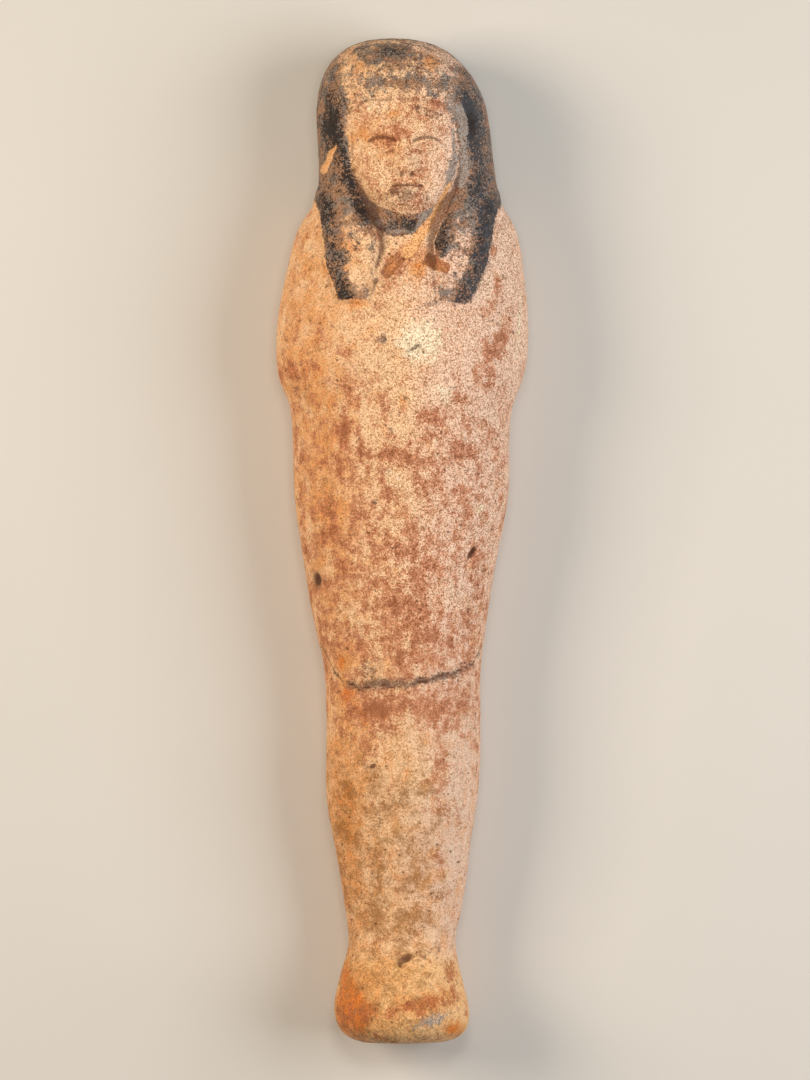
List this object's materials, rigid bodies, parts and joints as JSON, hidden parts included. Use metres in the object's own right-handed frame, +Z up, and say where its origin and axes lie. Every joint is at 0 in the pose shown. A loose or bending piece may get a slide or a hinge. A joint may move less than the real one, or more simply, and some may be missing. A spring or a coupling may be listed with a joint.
{
  "type": "ushabti figurine",
  "caption": "Small mummiform tomb figure of painted fired clay: wigged head, wrapped arms and body, and feet in one piece, lying on its back.",
  "frame": {"origin": "on the surface that the back rests on, under the middle of the length and width", "axes": "+Z up out of the chest, +Y from the feet to the head, +X towards the figure's left side"},
  "size_m": [0.0554, 0.22, 0.0335],
  "materials": {
    "painted_clay": "matte"
  },
  "bodies": {
    "root": {"figurine": "painted_clay"}
  },
  "joints": []
}
